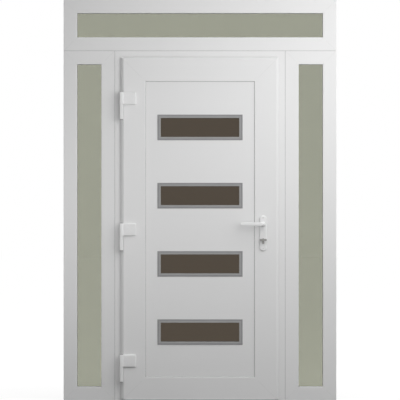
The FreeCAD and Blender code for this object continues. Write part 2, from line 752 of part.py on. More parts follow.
hinge_heights = [f"(hinge_lowest + hinge_pitch*{index})" for index in range(HINGE_COUNT)]
group("hinge_flags", [hinge_flag(f"hinge_flag_{number}", height)
                      for number, height in enumerate(hinge_heights)])
group("hinge_knuckles", [hinge_knuckle(f"hinge_knuckle_{number}", height)
                         for number, height in enumerate(hinge_heights)])


# Handle: a plate and a lever on each face of the leaf, on one spindle, with the key cylinder below. Each
# body starts on the spindle at the leaf's face, and those on the outside are turned about Z.
def handle_plate(label, front, turn):
    body = new_body(label)
    half = "plate_width/2"
    stem_end = "(cylinder_drop + cylinder_length + cylinder_fit)"
    blank = rectangle(body, "XZ_Plane", (f"-{half}", "-plate_below"), (half, "plate_above"))
    pad(body, blank, "plate_thickness")
    round_edges(body, "(plate_width - plate_end_flat)/2", runs_along((0, 1, 0)))
    bevel_edges(body, "plate_bevel", lies_at((0, 1, 0), body.Shape.BoundBox.YMin))
    cut(body, disc(body, "XZ_Plane", "neck_radius + neck_fit"))
    cut(body, disc(body, "XZ_Plane", cylinder_bore, ("0", "-cylinder_drop")))
    cut(body, rectangle(body, "XZ_Plane", (f"-{stem_bore}", f"-{stem_end}"), (stem_bore, "-cylinder_drop")))
    place(body, (HANDLE_X, front, "handle_height"), (0, 0, 1), turn)
    return keep(body, label)


def lever_path(body, root, hand):
    """The grip's centre line: straight out from the plate, round a bend, and along the leaf. hand is
    1 or -1, the way along X that it goes."""
    path = new_sketch(body, "XY_Plane", "0")
    bend = SIZES["lever_bend"]
    far = -SIZES["lever_stand_off"]
    elbow = FreeCAD.Vector(hand * bend, far + bend, 0)
    first_angle = math.pi if hand > 0 else -math.pi / 2
    circle = Part.Circle(elbow, FreeCAD.Vector(0, 0, 1), bend)
    path.addGeometry(Part.LineSegment(FreeCAD.Vector(), FreeCAD.Vector(0, far + bend, 0)))
    path.addGeometry(Part.ArcOfCircle(circle, first_angle, first_angle + math.pi / 2))
    path.addGeometry(Part.LineSegment(FreeCAD.Vector(hand * bend, far, 0),
                                      FreeCAD.Vector(hand * SIZES["lever_reach"], far, 0)))
    near_end, far_end = (1, 2) if hand > 0 else (2, 1)
    path.addConstraint(Sketcher.Constraint("Vertical", 0))
    path.addConstraint(Sketcher.Constraint("Horizontal", 2))
    path.addConstraint(Sketcher.Constraint("Tangent", 0, 2, 1, near_end))
    path.addConstraint(Sketcher.Constraint("Tangent", 1, far_end, 2, 1))
    for constraint, formula in ((Sketcher.Constraint("DistanceX", 0, 1, 0.0), "0"),
                                (Sketcher.Constraint("DistanceY", 0, 1, 0.0), f"-{root}"),
                                (Sketcher.Constraint("Radius", 1, bend), "lever_bend"),
                                (Sketcher.Constraint("DistanceY", 2, 1, far), "-lever_stand_off"),
                                (Sketcher.Constraint("DistanceX", 2, 2, far), f"{hand}*lever_reach")):
        number = path.addConstraint(constraint)
        bind(path, f"Constraints[{number}]", formula)
    return path


def lever(label, front, turn, hand):
    """A neck that turns in the plate, a collar, and a flat grip swept round a bend to the hinge side."""
    body = new_body(label)
    root = "(plate_thickness + neck_fit)"
    pad(body, disc(body, "XZ_Plane", "neck_radius"), f"{root} + collar_length/2")
    pad(body, disc(body, "XZ_Plane", "collar_radius", offset=root), "collar_length")
    path = lever_path(body, root, hand)
    grip = body.newObject("PartDesign::AdditivePipe", f"{label}_Grip")
    grip.Profile = bevelled_rectangle(body, "XZ_Plane", "lever_depth/2", "lever_thickness/2", "lever_bevel",
                                      root)
    grip.Spine = path
    doc.recompute()
    tip = max(hand * edge.CenterOfMass.x for edge in body.Shape.Edges)
    bevel_edges(body, "lever_tip_bevel", lies_at((hand, 0, 0), tip))
    place(body, (HANDLE_X, front, "handle_height"), (0, 0, 1), turn)
    return keep(body, label)


handle_plate("handle_plate_inside", LEAF_FRONT, 0)
handle_plate("handle_plate_outside", LEAF_BACK, 180)
lever("lever_inside", LEAF_FRONT, 0, -1)
lever("lever_outside", LEAF_BACK, 180, 1)
keep(slab("spindle", (f"{HANDLE_X} - spindle_width/2", LEAF_FRONT, "handle_height - spindle_width/2"),
          (f"{HANDLE_X} + spindle_width/2", LEAF_BACK, "handle_height + spindle_width/2")), "spindle")

# The key cylinder passes through the stile and both plates
cylinder = new_body("key_cylinder")
cylinder_front = f"({LEAF_FRONT} - plate_thickness - cylinder_stand_out)"
cylinder_run = f"({LEAF_BACK} - {LEAF_FRONT} + 2*plate_thickness + 2*cylinder_stand_out)"
pad(cylinder, disc(cylinder, "XZ_Plane", "cylinder_radius"), cylinder_run, True)
stem = rectangle(cylinder, "XZ_Plane", ("-cylinder_stem/2", "-cylinder_length"), ("cylinder_stem/2", "0"))
pad(cylinder, stem, cylinder_run, True)
runs_through = runs_along((0, 1, 0))
lies_at_foot = lies_at((0, 0, 1), cylinder.Shape.BoundBox.ZMin)
round_edges(cylinder, "(cylinder_stem - stem_end_flat)/2",
            lambda edge: runs_through(edge) and lies_at_foot(edge))
place(cylinder, (HANDLE_X, cylinder_front, "handle_height - cylinder_drop"))
keep(cylinder, "key_cylinder")

# A thumb turn stands on the cylinder's inside end in place of a key: a neck and a flat bar with round ends
thumb_turn = new_body("thumb_turn")
pad(thumb_turn, rectangle(thumb_turn, "XZ_Plane", ("-turn_length/2", "-turn_height/2"),
                          ("turn_length/2", "turn_height/2"), "turn_neck_length"), "turn_depth")
round_edges(thumb_turn, "(turn_height - turn_end_flat)/2", runs_along((0, 1, 0)))
bevel_edges(thumb_turn, "turn_bevel", lies_at((0, 1, 0), thumb_turn.Shape.BoundBox.YMin))
pad(thumb_turn, disc(thumb_turn, "XZ_Plane", "turn_neck_radius"), "turn_neck_length + turn_depth/2")
place(thumb_turn, (HANDLE_X, f"{cylinder_front} - turn_gap", "handle_height - cylinder_drop"))
keep(thumb_turn, "thumb_turn")

# Check the whole document, then write each sub-part
doc.recompute()
for thing in doc.Objects:
    if "Invalid" in thing.State or "Error" in thing.State:
        raise RuntimeError(f"{thing.Label} failed: {thing.State}")
for label, thing in subparts.items():
    if thing.Shape.isNull() or not thing.Shape.isValid() or not thing.Shape.Solids:
        raise RuntimeError(f"{label} has no sound shape")
os.makedirs("parts", exist_ok=True)
for label, thing in subparts.items():
    thing.Shape.exportStep(os.path.join("parts", f"{label}.step"))
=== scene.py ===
import math

import bmesh
import bpy
import numpy as np
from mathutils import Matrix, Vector


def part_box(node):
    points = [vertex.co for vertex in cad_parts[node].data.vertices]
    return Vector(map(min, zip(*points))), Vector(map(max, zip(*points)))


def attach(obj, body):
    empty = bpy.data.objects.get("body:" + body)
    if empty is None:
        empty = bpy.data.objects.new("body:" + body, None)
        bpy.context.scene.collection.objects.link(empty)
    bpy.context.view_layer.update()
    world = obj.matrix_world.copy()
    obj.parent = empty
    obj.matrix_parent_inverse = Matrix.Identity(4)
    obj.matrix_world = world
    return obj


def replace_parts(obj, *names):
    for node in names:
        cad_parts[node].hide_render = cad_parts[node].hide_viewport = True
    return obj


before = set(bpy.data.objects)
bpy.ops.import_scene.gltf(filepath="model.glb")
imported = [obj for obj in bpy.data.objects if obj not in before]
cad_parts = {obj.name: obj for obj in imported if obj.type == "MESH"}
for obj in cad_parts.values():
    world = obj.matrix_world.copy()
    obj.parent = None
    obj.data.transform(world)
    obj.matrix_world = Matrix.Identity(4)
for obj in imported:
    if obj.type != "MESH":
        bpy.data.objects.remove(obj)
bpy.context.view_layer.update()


# Profiles: frames of the three fixed lights and of the door, sash members and glazing beads. The real ones
# are hollow bars of white plastic, pushed hot through a die, so faint lines run along each bar. Corners are
# cut at 45 degrees and welded, and the beads are cut to length and snapped in.
MM = 0.001
PROFILE_WHITE = (0.80, 0.80, 0.80, 1.0)
LIGHTS = ("left_sidelight", "right_sidelight", "transom")
LONG_SCALE, CROSS_SCALE = 1.5, 900.0


def add_node(tree, kind, sockets=None, **settings):
    """A shader node. A socket gets a plain value, or is linked where it is given another node's output."""
    made = tree.nodes.new(kind)
    for name, value in settings.items():
        setattr(made, name, value)
    for name, value in (sockets or {}).items():
        if isinstance(value, bpy.types.NodeSocket):
            tree.links.new(value, made.inputs[name])
        else:
            made.inputs[name].default_value = value
    return made


def new_group(name, inputs, output, kind):
    """An empty node group with the named input sockets and one output, and its two end nodes."""
    tree = bpy.data.node_groups.new(name, "ShaderNodeTree")
    for label, socket in inputs.items():
        tree.interface.new_socket(label, in_out="INPUT", socket_type=socket)
    tree.interface.new_socket(output, in_out="OUTPUT", socket_type=kind)
    return tree, tree.nodes.new("NodeGroupInput").outputs, tree.nodes.new("NodeGroupOutput").inputs


def drifting_tone_group():
    """The colour times 1 plus or minus the amount, which follows soft noise with patches of the given
    size in metres."""
    tree, given, result = new_group(
        "drifting_tone",
        {"Color": "NodeSocketColor", "Amount": "NodeSocketFloat", "Patch": "NodeSocketFloat"},
        "Color", "NodeSocketColor")
    place = add_node(tree, "ShaderNodeTexCoord").outputs["Object"]
    often = add_node(tree, "ShaderNodeMath", {0: 1.0, 1: given["Patch"]}, operation="DIVIDE").outputs[0]
    cloud = add_node(tree, "ShaderNodeTexNoise", {"Vector": place, "Scale": often, "Detail": 3.0})
    swing = add_node(tree, "ShaderNodeMapRange", {"Value": cloud.outputs["Fac"], "From Min": 0.25,
                                                  "From Max": 0.75, "To Min": -1.0, "To Max": 1.0})
    factor = add_node(tree, "ShaderNodeMath", {0: swing.outputs["Result"], 1: given["Amount"], 2: 1.0},
                      operation="MULTIPLY_ADD")
    toned = add_node(tree, "ShaderNodeVectorMath", {0: given["Color"], "Scale": factor.outputs[0]},
                     operation="SCALE")
    tree.links.new(toned.outputs["Vector"], result["Color"])
    return tree


def drawn_lines_group():
    """Noise stretched into lines: places are multiplied by so many lines a metre along each axis before the
    noise."""
    tree, given, result = new_group(
        "drawn_lines", {"Place": "NodeSocketVector", "Lines a metre": "NodeSocketVector"},
        "Lines", "NodeSocketFloat")
    spread = add_node(tree, "ShaderNodeVectorMath", {0: given["Place"], 1: given["Lines a metre"]},
                      operation="MULTIPLY").outputs["Vector"]
    lines = add_node(tree, "ShaderNodeTexNoise", {"Vector": spread, "Scale": 1.0, "Detail": 2.0})
    tree.links.new(lines.outputs["Fac"], result["Lines"])
    return tree


drifting_tone = drifting_tone_group()
drawn_lines = drawn_lines_group()


def lined_finish(name, colour, drift, patch, lines, roughness, relief, uv=False, **constants):
    """A finish with drifting tone and drawn lines: the lines move the roughness between its two given values
    and are raised by the relief in metres. Constants are plain values of the shader's other sockets."""
    material = bpy.data.materials.new(name)
    material.use_nodes = True
    tree = material.node_tree
    place = add_node(tree, "ShaderNodeTexCoord").outputs["UV" if uv else "Object"]
    toned = add_node(tree, "ShaderNodeGroup", node_tree=drifting_tone)
    toned.inputs["Color"].default_value = colour
    toned.inputs["Amount"].default_value = drift
    toned.inputs["Patch"].default_value = patch
    drawn = add_node(tree, "ShaderNodeGroup", node_tree=drawn_lines)
    drawn.inputs["Lines a metre"].default_value = lines
    tree.links.new(place, drawn.inputs["Place"])
    gloss = add_node(tree, "ShaderNodeMapRange", {"Value": drawn.outputs["Lines"], "To Min": roughness[0],
                                                  "To Max": roughness[1]})
    raised = add_node(tree, "ShaderNodeBump", {"Strength": 1.0, "Distance": relief,
                                               "Height": drawn.outputs["Lines"]})
    surface = tree.nodes["Principled BSDF"]
    tree.links.new(toned.outputs["Color"], surface.inputs["Base Color"])
    tree.links.new(gloss.outputs["Result"], surface.inputs["Roughness"])
    tree.links.new(raised.outputs["Normal"], surface.inputs["Normal"])
    for socket, value in constants.items():
        surface.inputs[socket.replace("_", " ")].default_value = value
    return material


def dress(material, *nodes):
    """Gives CAD nodes their finish in place of the plain colour that they come with."""
    for node in nodes:
        skin_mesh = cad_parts[node].data
        skin_mesh.materials.clear()
        skin_mesh.materials.append(material)


upright_profile = lined_finish("upright_profile", PROFILE_WHITE, drift=0.008, patch=0.5,
                               lines=(CROSS_SCALE, CROSS_SCALE, LONG_SCALE), roughness=(0.38, 0.48),
                               relief=0.000004)
level_profile = lined_finish("level_profile", PROFILE_WHITE, drift=0.008, patch=0.5,
                             lines=(LONG_SCALE, CROSS_SCALE, CROSS_SCALE), roughness=(0.38, 0.48),
                             relief=0.000004)
bead_plastic = lined_finish("bead_plastic", PROFILE_WHITE, drift=0.008, patch=0.5,
                            lines=(350.0, 350.0, 350.0), roughness=(0.38, 0.46), relief=0.000004)
for light in LIGHTS:
    dress(upright_profile, f"{light}_left_stile", f"{light}_right_stile")
    dress(level_profile, f"{light}_top_rail", f"{light}_bottom_rail")
    dress(bead_plastic, f"{light}_beads")
dress(upright_profile, "door_frame_left_jamb", "door_frame_right_jamb", "sash_hinge_stile",
      "sash_lock_stile")
dress(level_profile, "door_frame_head", "sash_top_rail", "sash_bottom_rail")
dress(bead_plastic, "panel_beads")


# Weld seams at the mitred corners. Where two hot bar ends are pressed together a little plastic wells up,
# and the corner is cleaned with a knife, which leaves a low rounded ridge along the 45 degree joint. The
# ridges are a darker grey than the profiles: painted shade that draws each joint as a dark line.
SEAM_WIDTH, SEAM_RISE = 1.6 * MM, 0.12 * MM
LIGHT_SEAM_START, ROOM_SEAM_END, OUTER_SEAM_END = 3 * MM, 59 * MM, 72 * MM
SASH_SEAM_START, SASH_SEAM_END = 24 * MM, 120 * MM
SASH_FOOT_TRIM = 14 * MM


def skin(rings, loop=False):
    """Points, quads and UV of a closed surface through rings of points, an array (ring, point, xyz). Each
    ring closes on itself. A loop also closes on its first ring, and an open run is closed by a point in the
    middle of each end. U is the length along the run, and V the length round the ring."""
    if not loop:
        ends = rings[[0, -1]].mean(1, keepdims=True)
        rings = np.concatenate([np.repeat(ends[:1], rings.shape[1], 1), rings,
                                np.repeat(ends[1:], rings.shape[1], 1)])
    count, size = rings.shape[:2]
    index = np.arange(count * size).reshape(count, size)
    following = np.roll(index, -1, 0)
    if not loop:
        index, following = index[:-1], following[:-1]
    quads = np.stack([index, np.roll(index, -1, 1), np.roll(following, -1, 1), following], -1)
    centres = rings.mean(1)
    steps = np.linalg.norm(np.roll(centres, -1, 0) - centres, axis=1)[:len(index)]
    middle = rings[count // 2]
    turns = np.linalg.norm(np.roll(middle, -1, 0) - middle, axis=1)
    along = np.concatenate([[0.0], np.cumsum(steps)])
    across = np.concatenate([[0.0], np.cumsum(turns)])
    uv = np.zeros(quads.shape + (2,))
    uv[..., 0] = np.stack([along[:-1], along[:-1], along[1:], along[1:]], -1)[:, None, :]
    uv[..., 1] = np.stack([across[:-1], across[1:], across[1:], across[:-1]], -1)[None, :, :]
    return rings.reshape(-1, 3), quads.reshape(-1, 4), uv.reshape(-1, 2)


def make_piece(name, skins, material, body, crease=35.0):
    """One object from closed skins, riding on a body. Points of one place are merged, faces are turned
    outwards, and edges that bend by more than the crease angle in degrees stay sharp."""
    starts = np.cumsum([0] + [len(points) for points, _, _ in skins[:-1]])
    points = np.concatenate([points for points, _, _ in skins])
    quads = np.concatenate([quads + start for (_, quads, _), start in zip(skins, starts)])
    mesh = bpy.data.meshes.new(name)
    mesh.from_pydata(points.tolist(), [], quads.tolist())
    places = mesh.uv_layers.new(name="along_across")
    places.data.foreach_set("uv", np.concatenate([uv for _, _, uv in skins]).ravel())
    work = bmesh.new()
    work.from_mesh(mesh)
    bmesh.ops.remove_doubles(work, verts=work.verts, dist=1e-6)
    bmesh.ops.recalc_face_normals(work, faces=work.faces)
    work.to_mesh(mesh)
    work.free()
    mesh.shade_smooth()
    mesh.set_sharp_from_angle(angle=math.radians(crease))
    mesh.materials.append(material)
    piece = bpy.data.objects.new(name, mesh)
    bpy.context.scene.collection.objects.link(piece)
    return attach(piece, body)


def ridge(start, end, up, width, rise):
    """A low rounded ridge from start to end: across it, the height is rise times (1 - s squared), with s
    from -1 to 1 over the width, and its underside is sunk by half the rise."""
    start, end, up = (np.asarray(value, float) for value in (start, end, up))
    aside = np.cross(end - start, up)
    aside = aside / np.linalg.norm(aside)
    s = np.linspace(-1.0, 1.0, 9)
    over = s[:, None] * aside * width / 2 + (1 - s[:, None] ** 2) * up * rise
    under = s[[-1, 0], None] * aside * width / 2 - up * rise / 2
    section = np.concatenate([over, under])
    return skin(np.stack([start + section, end + section]))


def mitre_ridges(low, high, first, last, y):
    """Ridges on the four mitres of a rectangle (x, z), from first to last metres in from each corner."""
    up = (0.0, math.copysign(1.0, y), 0.0)
    made = []
    for x, toward_x in ((low[0], 1), (high[0], -1)):
        for z, toward_z in ((low[2], 1), (high[2], -1)):
            made.append(ridge((x + toward_x * first, y, z + toward_z * first),
                              (x + toward_x * last, y, z + toward_z * last), up, SEAM_WIDTH, SEAM_RISE))
    return made


# Darker than the profile white: painted shade along each mitre.
seam_shade_plastic = lined_finish("seam_shade_plastic", (0.72, 0.72, 0.72, 1.0), drift=0.05, patch=0.05,
                            lines=(300.0, 300.0, 300.0), roughness=(0.50, 0.65), relief=0.000010)
light_seams = []
for light in LIGHTS:
    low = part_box(f"{light}_left_stile")[0]
    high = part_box(f"{light}_right_stile")[1]
    light_seams += mitre_ridges(low, high, LIGHT_SEAM_START, ROOM_SEAM_END, low[1])
    light_seams += mitre_ridges(low, high, LIGHT_SEAM_START, OUTER_SEAM_END, high[1])
make_piece("weld_seams_frame", light_seams, seam_shade_plastic, "frame")
sash_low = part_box("sash_hinge_stile")[0] - Vector((0.0, 0.0, SASH_FOOT_TRIM))
sash_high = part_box("sash_lock_stile")[1]
sash_seams = mitre_ridges(sash_low, sash_high, SASH_SEAM_START, SASH_SEAM_END, sash_low[1])
make_piece("weld_seams_leaf", sash_seams, seam_shade_plastic, "leaf")


# Coupling strips: the three lights and the door frame are screwed together side by side, and a strip of
# foam is squeezed into the groove between their rounded edges, on the room side and on the outside. The
# foam is real, but its near-black colour is painted shade that darkens the groove more than it would be.
STRIP_WIDTH, STRIP_RISE, STRIP_DEPTH = 2.2 * MM, 0.6 * MM, 1.0 * MM
STRIP_END = 2 * MM
# The near-black colour is partly painted shade in the coupling grooves.
foam_and_shade_grey = lined_finish("foam_and_shade_grey", (0.13, 0.13, 0.13, 1.0), drift=0.10, patch=0.02,
                         lines=(700.0, 700.0, 700.0), roughness=(0.75, 0.90), relief=0.000020)
door_low, door_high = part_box("door_frame_head")
set_low, set_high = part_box("transom_top_rail")
joint_height = door_high[2]
coupling_shade_strips = []
for y, up in ((door_low[1] + STRIP_DEPTH, (0, -1, 0)), (door_high[1] - STRIP_DEPTH, (0, 1, 0))):
    runs = [((x, y, STRIP_END), (x, y, joint_height)) for x in (door_low[0], door_high[0])]
    runs.append(((set_low[0] + STRIP_END, y, joint_height), (set_high[0] - STRIP_END, y, joint_height)))
    coupling_shade_strips += [ridge(start, end, up, STRIP_WIDTH, STRIP_RISE) for start, end in runs]
make_piece("coupling_shade_strips", coupling_shade_strips, foam_and_shade_grey, "frame")


# Glazing gaskets: a soft grey wedge pressed between each bead or stop and the glass, one each side of the
# pane, bought as a roll and pushed in with mitred corners.
SIGHT_INSET = 15 * MM
GASKET_NOSE = np.array([(-0.6, 0.02), (-0.6, -3.0), (0.1, -2.8), (0.6, -1.6), (0.8, -0.6), (0.8, 0.02)]) * MM


def frame_loop(low, high, section):
    """Rings of a section at the four corners of a rectangle (x, z). A section's point is (inset, y) and lies
    that far inside the rectangle along both x and z, so that the corners are mitred."""
    corner = np.array([(low[0], low[2], 1, 1), (high[0], low[2], -1, 1), (high[0], high[2], -1, -1),
                       (low[0], high[2], 1, -1)])[:, None, :]
    inset = section[None, :, 0]
    x = corner[..., 0] + corner[..., 2] * inset
    z = corner[..., 1] + corner[..., 3] * inset
    y = np.broadcast_to(section[None, :, 1], x.shape)
    return np.stack([x, y, z], -1)


grey_rubber = lined_finish("grey_rubber", (0.40, 0.40, 0.40, 1.0), drift=0.06, patch=0.03,
                           lines=(400.0, 400.0, 400.0), roughness=(0.60, 0.80), relief=0.000010)
gaskets = []
for light in LIGHTS:
    low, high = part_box(f"{light}_glass")
    low_sight, high_sight = low + Vector((SIGHT_INSET,) * 3), high - Vector((SIGHT_INSET,) * 3)
    inner = GASKET_NOSE + (0.0, low[1])
    outer = GASKET_NOSE * (1.0, -1.0) + (0.0, high[1])
    gaskets += [skin(frame_loop(low_sight, high_sight, side), loop=True) for side in (inner, outer)]
make_piece("glazing_gaskets", gaskets, grey_rubber, "frame")


# Panes of the fixed lights: two sheets of float glass each, with a faint grey-green body, bedded between the
# gaskets. They let lamp light through to the floor.
PANE_TINT = (0.548, 0.556, 0.491, 1.0)


def tinted_glass(name, tint, roughness):
    """Clear glass whose tint drifts by one percent. For shadow rays it is plainly see-through."""
    material = bpy.data.materials.new(name)
    material.use_nodes = True
    tree = material.node_tree
    toned = add_node(tree, "ShaderNodeGroup", node_tree=drifting_tone)
    toned.inputs["Color"].default_value = tint
    toned.inputs["Amount"].default_value = 0.01
    toned.inputs["Patch"].default_value = 0.4
    surface = tree.nodes["Principled BSDF"]
    surface.inputs["Transmission Weight"].default_value = 1.0
    surface.inputs["Roughness"].default_value = roughness
    surface.inputs["IOR"].default_value = 1.5
    tree.links.new(toned.outputs["Color"], surface.inputs["Base Color"])
    shadow = add_node(tree, "ShaderNodeLightPath").outputs["Is Shadow Ray"]
    passed = add_node(tree, "ShaderNodeBsdfTransparent", {"Color": tint})
    mixed = add_node(tree, "ShaderNodeMixShader", {0: shadow, 1: surface.outputs[0], 2: passed.outputs[0]})
    tree.links.new(mixed.outputs[0], tree.nodes["Material Output"].inputs["Surface"])
    return material


dress(tinted_glass("float_glass", PANE_TINT, roughness=0.0), *(f"{light}_glass" for light in LIGHTS))


# Spacer bars between the two sheets of each pane: thin aluminium tube with a mill finish, bent at the
# corners and glued to both sheets.
mill_aluminium = lined_finish("mill_aluminium", (0.62, 0.62, 0.63, 1.0), drift=0.03, patch=0.05,
                              lines=(60.0, 60.0, 60.0), roughness=(0.30, 0.45), relief=0.000006,
                              Metallic=1.0)
dress(mill_aluminium, "glazing_spacers")


# Threshold: a flat sill of extruded and anodised aluminium that the leaf closes over, with grooves along it
# for grip. It is screwed to the floor between the jambs, and fine die lines run along it.
anodised_sill = lined_finish("anodised_sill", (0.46, 0.46, 0.47, 1.0), drift=0.03, patch=0.12,
                             lines=(2.0, 1400.0, 1400.0), roughness=(0.28, 0.44), relief=0.000008,
                             Metallic=1.0)
dress(anodised_sill, "threshold")


# Seals: grey rubber strips, the same stuff as the glazing gaskets. They are pushed into grooves, on three
# sides of the door frame and round the flange of the sash.
dress(grey_rubber, "frame_seal", "leaf_seal")


# Door panel: an insulated sandwich with smooth white skins, cut through for four slots. It stands in the
# sash as a pane does, clamped by the beads.
def pored_finish(name, colour, drift, patch, pores, roughness, relief, **constants):
    """A smooth skin with drifting tone, and even fine noise of so many pores a metre for roughness and
    relief."""
    return lined_finish(name, colour, drift, patch, (pores, pores, pores), roughness, relief, **constants)


dress(pored_finish("panel_skin", PROFILE_WHITE, drift=0.006, patch=0.6, pores=350.0, roughness=(0.36, 0.46),
                   relief=0.000006), "door_panel")


# Panel gaskets: a thin dark lip that presses on each face of the panel, drawn in one with the bead on the
# room side and with the sash's stop on the outside.
PANEL_LIP = np.array([(-0.6, 0.02), (-0.6, -0.9), (0.2, -0.9), (1.0, -0.6), (1.4, 0.02)]) * MM
BEAD_WIDTH = 20 * MM
bead_low, bead_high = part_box("panel_beads")
inside_sight = Vector((BEAD_WIDTH, 0.0, BEAD_WIDTH))
panel_low, panel_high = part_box("door_panel")
panel_lips = [skin(frame_loop(bead_low + inside_sight, bead_high - inside_sight, lip), loop=True)
              for lip in (PANEL_LIP + (0.0, panel_low[1]), PANEL_LIP * (1.0, -1.0) + (0.0, panel_high[1]))]
make_piece("panel_gaskets", panel_lips, foam_and_shade_grey, "leaf")


# Slot trims: frames pressed from thin stainless steel, a brushed outer band and a smoother, slightly higher
# inner band that turns in to the glass. The brushing runs along each side, and both faces of the panel have
# one round each slot.
SLOT_HEIGHTS = (0.4, 0.8, 1.2, 1.6)
OUTER_BAND = np.array([(0, 0.05), (0, -1.2), (0.4, -1.7), (9.1, -2.0), (9.5, -1.8), (9.5, 0.05)]) * MM
INNER_BAND = np.array([(9.5, 0.05), (9.5, -2.4), (10.0, -2.9), (17.6, -3.0), (18.6, -2.7), (19.3, -1.9),
                       (19.3, 11.95), (17.3, 11.95), (17.3, 0.05)]) * MM
trims_low, trims_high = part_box("slot_trims_inside")
trim_half = Vector((trims_high[0], 0.0, SLOT_HEIGHTS[0] - trims_low[2]))


def round_slots(section):
    """The section carried round every slot, on the inside face and, mirrored, on the outside face of the
    panel."""
    made = []
    for height in SLOT_HEIGHTS:
        middle = Vector((0.0, 0.0, height))
        for face, side in ((panel_low[1], 1.0), (panel_high[1], -1.0)):
            placed = section * (1.0, side) + (0.0, face)
            made.append(skin(frame_loop(middle - trim_half, middle + trim_half, placed), loop=True))
    return made


brushed_band = lined_finish("brushed_band", (0.265, 0.265, 0.27, 1.0), drift=0.04, patch=0.08,
                            lines=(6.0, 2500.0, 1.0), roughness=(0.36, 0.52), relief=0.000005, uv=True,
                            Metallic=0.3)
smooth_band = lined_finish("smooth_band", (0.32, 0.32, 0.32, 1.0), drift=0.04, patch=0.08,
                           lines=(6.0, 1200.0, 1.0), roughness=(0.26, 0.36), relief=0.000002, uv=True,
                           Metallic=0.3)
dress(smooth_band, "slot_trims_inside", "slot_trims_outside")
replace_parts(make_piece("slot_trim_bands", round_slots(OUTER_BAND), brushed_band, "leaf"),
            "slot_trims_inside", "slot_trims_outside")
make_piece("slot_trim_lips", round_slots(INNER_BAND), smooth_band, "leaf")


# Slot panes: thick dark glass units, brown by the light that they let through. The two trims of a slot hold
# each one between them.
dress(tinted_glass("brown_glass", (0.046, 0.030, 0.014, 1.0), roughness=0.03), "slot_glass")


# Hinges: knuckles on the frame and flags on the leaf are die-cast with soft edges and powder coated white. A
# knuckle's pin stands in the bore of its flag, and a grey plastic cap closes each end of the barrel.
COAT_WHITE = (0.82, 0.82, 0.82, 1.0)
HINGE_AXIS = (-460 * MM, -67 * MM)
HINGE_SPLITS = (196.5 * MM, 965.5 * MM, 1734.5 * MM)
HINGE_GAP = 0.25 * MM
LEAF_FACE = -55 * MM
BARREL_HALF, BARREL_CORNER = 10 * MM, 4 * MM
BARREL_RIM = np.array([(0.0, 0.0), (0.0, 70.2), (0.3, 71.2), (0.9, 71.8), (2.0, 72.0)]) * MM
PIN_BORE = (0.0, 0.0, 5.3 * MM)
FLAG_LOW, FLAG_HIGH, FLAG_TALL, FLAG_CORNER = -454.5 * MM, -375 * MM, 70.5 * MM, 5 * MM
FLAG_RIM = np.array([(0.0, 0.0), (0.0, 8.8), (0.2, 10.0), (0.8, 11.1), (1.9, 11.8), (3.2, 12.0)]) * MM
CAP_HALF, CAP_CORNER = 9.2 * MM, 4 * MM
CAP_RIM = np.array([(0.0, -0.5), (0.0, 3.2), (0.5, 4.4), (1.6, 5.0), (3.6, 5.2)]) * MM
FLAG_RISE, KNUCKLE_DROP = 72.2 * MM, 86.2 * MM
RIGHT, OUTSIDE, UPWARD = np.eye(3)


def rounded_block(centre, half, corner, rim, across, along, out, bore=None, around=96):
    """A rim profile (inset, rise) carried round a rectangle with round corners: each ring is that outline,
    inset on all sides and that high along the direction out. The half sizes lie along the directions across
    and along. A bore (u, v, radius) goes right through, as two rings of that radius that join the last ring
    to the first."""
    angle = ((np.arange(around) + 0.5) * 2 * np.pi / around)[None, :, None]
    inset, rise = rim[:, 0, None, None], rim[:, 1, None, None]
    u = np.sign(np.cos(angle)) * (half[0] - corner) + (corner - inset) * np.cos(angle)
    v = np.sign(np.sin(angle)) * (half[1] - corner) + (corner - inset) * np.sin(angle)
    rings = np.asarray(centre) + u * across + v * along + rise * out
    if bore is None:
        return skin(rings)
    hole_u, hole_v = bore[0] + bore[2] * np.cos(angle), bore[1] + bore[2] * np.sin(angle)
    hole = np.asarray(centre) + hole_u * across + hole_v * along + rise[[-1, 0]] * out
    return skin(np.concatenate([rings, hole]), loop=True)


def turned(centre, outward, profile, around=40):
    """A turned skin: each profile point (radius, height) makes a ring about the axis through the centre,
    that high along it, at radius times cosine and sine along two directions across the axis."""
    outward = np.asarray(outward, float)
    first = np.cross(outward, (0.3, 0.5, 0.8))
    first = first / np.linalg.norm(first)
    second = np.cross(outward, first)
    angle = np.linspace(0.0, 2 * np.pi, around, endpoint=False)[None, :, None]
    radius, height = profile[:, 0, None, None], profile[:, 1, None, None]
    ring = radius * (np.cos(angle) * first + np.sin(angle) * second)
    return skin(np.asarray(centre) + height * outward + ring)


